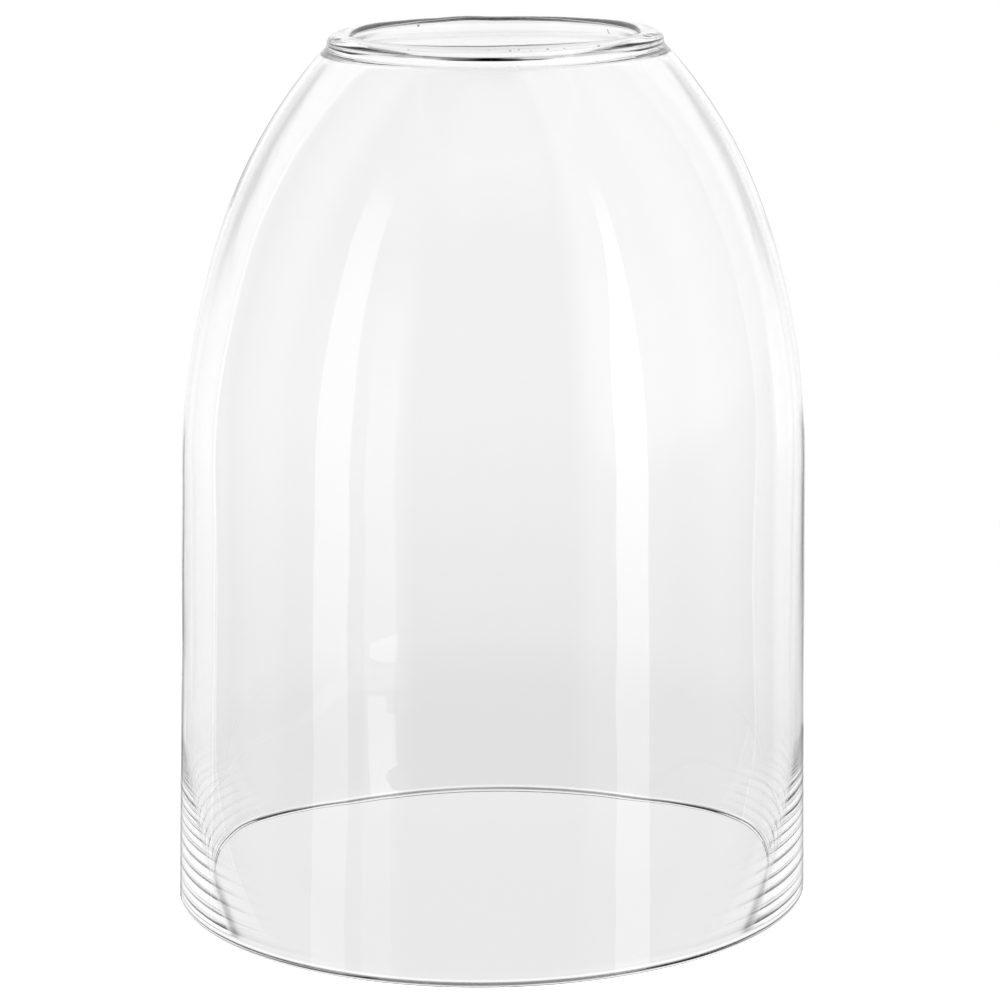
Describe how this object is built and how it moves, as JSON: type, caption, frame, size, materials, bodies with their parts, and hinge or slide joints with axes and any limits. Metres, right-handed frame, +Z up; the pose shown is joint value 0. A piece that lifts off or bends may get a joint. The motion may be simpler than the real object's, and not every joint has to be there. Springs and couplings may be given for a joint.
{
  "type": "garden cloche",
  "caption": "Open-topped bell of clear blown glass with a rounded lip, set over a seedling to shelter it.",
  "frame": {"origin": "centre of the circle that the foot stands on", "axes": "+Z up along the bell's axis, from the foot to the open mouth; X and Y are arbitrary"},
  "size_m": [0.223, 0.223, 0.3041],
  "materials": {
    "clear_glass": "clear, colourless, glossy blown glass with faint ripples and small seed bubbles"
  },
  "bodies": {
    "root": {"blown_bell": "clear_glass", "lip_bead": "clear_glass"}
  },
  "joints": []
}
